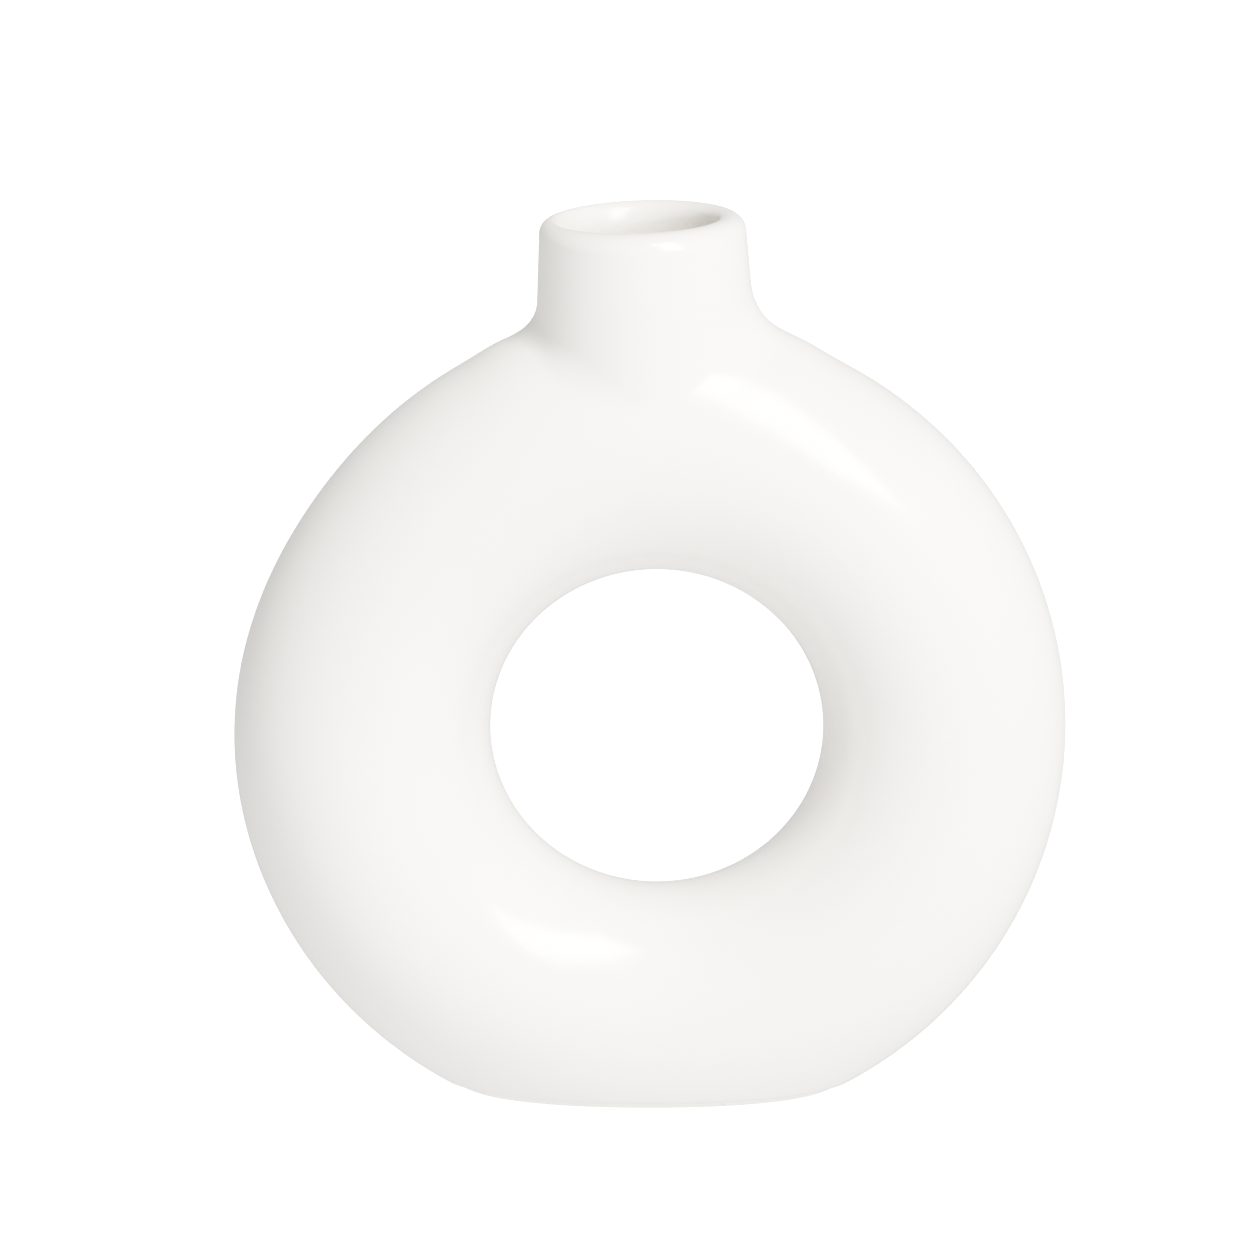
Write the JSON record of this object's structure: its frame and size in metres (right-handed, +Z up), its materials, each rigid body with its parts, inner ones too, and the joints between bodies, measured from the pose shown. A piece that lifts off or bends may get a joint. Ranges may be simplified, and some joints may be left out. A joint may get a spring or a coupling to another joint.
{
  "type": "donut vase",
  "caption": "Upright hollow ring vase in white glazed stoneware, with a short neck and rounded lip on top and a flattened bare foot, for a few stems.",
  "frame": {"origin": "middle of the flat foot, on the table", "axes": "+Z up; +X to the right seen from the front; the ring's own axis is Y, with the front at -Y"},
  "size_m": [0.1874, 0.0568, 0.2003],
  "materials": {
    "clay": "matte, unglazed",
    "outer_glaze": "satin gloss white",
    "liner_glaze": "satin gloss white"
  },
  "bodies": {
    "root": {"foot": "clay", "front_half_ring": "clay", "rear_half_ring": "clay", "neck_collar": "clay", "outer_glaze": "outer_glaze", "liner_glaze": "liner_glaze"}
  },
  "joints": []
}
